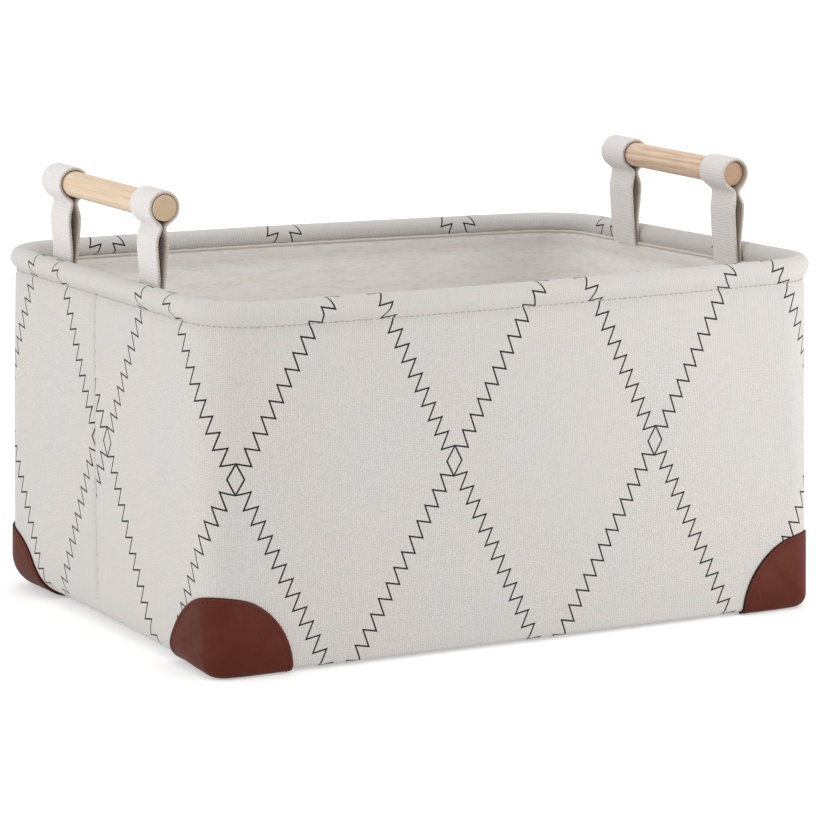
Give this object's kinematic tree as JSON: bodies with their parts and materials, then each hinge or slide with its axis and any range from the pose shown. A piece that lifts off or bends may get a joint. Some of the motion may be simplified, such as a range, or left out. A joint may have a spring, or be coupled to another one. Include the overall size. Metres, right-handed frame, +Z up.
{
  "type": "fabric storage bin",
  "caption": "Rectangular lined canvas storage bin with a wired rim, leather base corners and a wooden dowel handle held in webbing loops at each short end.",
  "frame": {"origin": "middle of the footprint on the ground", "axes": "+Z up, +X along the long front wall, -Y is the front"},
  "size_m": [0.4166, 0.307, 0.2636],
  "materials": {
    "canvas": "off-white ribbed canvas with a woven-in dark zigzag diamond pattern, matt",
    "lining": "light grey-beige heathered lining cloth, matt",
    "stiffener": "closed-cell foam sheet",
    "board": "pale plastic sheet",
    "wire": "drawn wire",
    "leather": "smooth reddish-brown leather, slight sheen",
    "webbing": "off-white ribbed cotton webbing",
    "dowel_wood": "plain sanded light wood"
  },
  "bodies": {
    "bin": {"outer_front_panel": "canvas", "outer_back_panel": "canvas", "outer_base_panel": "canvas", "base_board": "board", "floor_lining": "lining", "wall_lining": "lining", "front_stiffener": "stiffener", "back_stiffener": "stiffener", "left_stiffener": "stiffener", "right_stiffener": "stiffener", "rim_wire": "wire", "rim_wire_sleeve": "wire", "front_left_corner_patch": "leather", "front_right_corner_patch": "leather", "back_left_corner_patch": "leather", "back_right_corner_patch": "leather", "left_front_strap_tab": "webbing", "left_back_strap_tab": "webbing", "right_front_strap_tab": "webbing", "right_back_strap_tab": "webbing"},
    "left_handle": {"left_front_strap": "webbing", "left_back_strap": "webbing"},
    "left_bar": {"left_dowel": "dowel_wood"},
    "right_handle": {"right_front_strap": "webbing", "right_back_strap": "webbing"},
    "right_bar": {"right_dowel": "dowel_wood"}
  },
  "joints": [
    {"name": "left_handle_swing", "type": "hinge", "parent": "bin", "child": "left_handle", "pos_m": [-0.1922, 0.00725, 0.214], "axis": [0, 1, 0], "range_deg": [-80, 110]},
    {"name": "left_dowel_spin", "type": "hinge", "parent": "left_handle", "child": "left_bar", "pos_m": [-0.1922, 0.00725, 0.2536], "axis": [0, 1, 0], "continuous": true},
    {"name": "right_handle_swing", "type": "hinge", "parent": "bin", "child": "right_handle", "pos_m": [0.1922, 0.00725, 0.214], "axis": [0, -1, 0], "range_deg": [-80, 110]},
    {"name": "right_dowel_spin", "type": "hinge", "parent": "right_handle", "child": "right_bar", "pos_m": [0.1922, 0.00725, 0.2536], "axis": [0, 1, 0], "continuous": true}
  ]
}
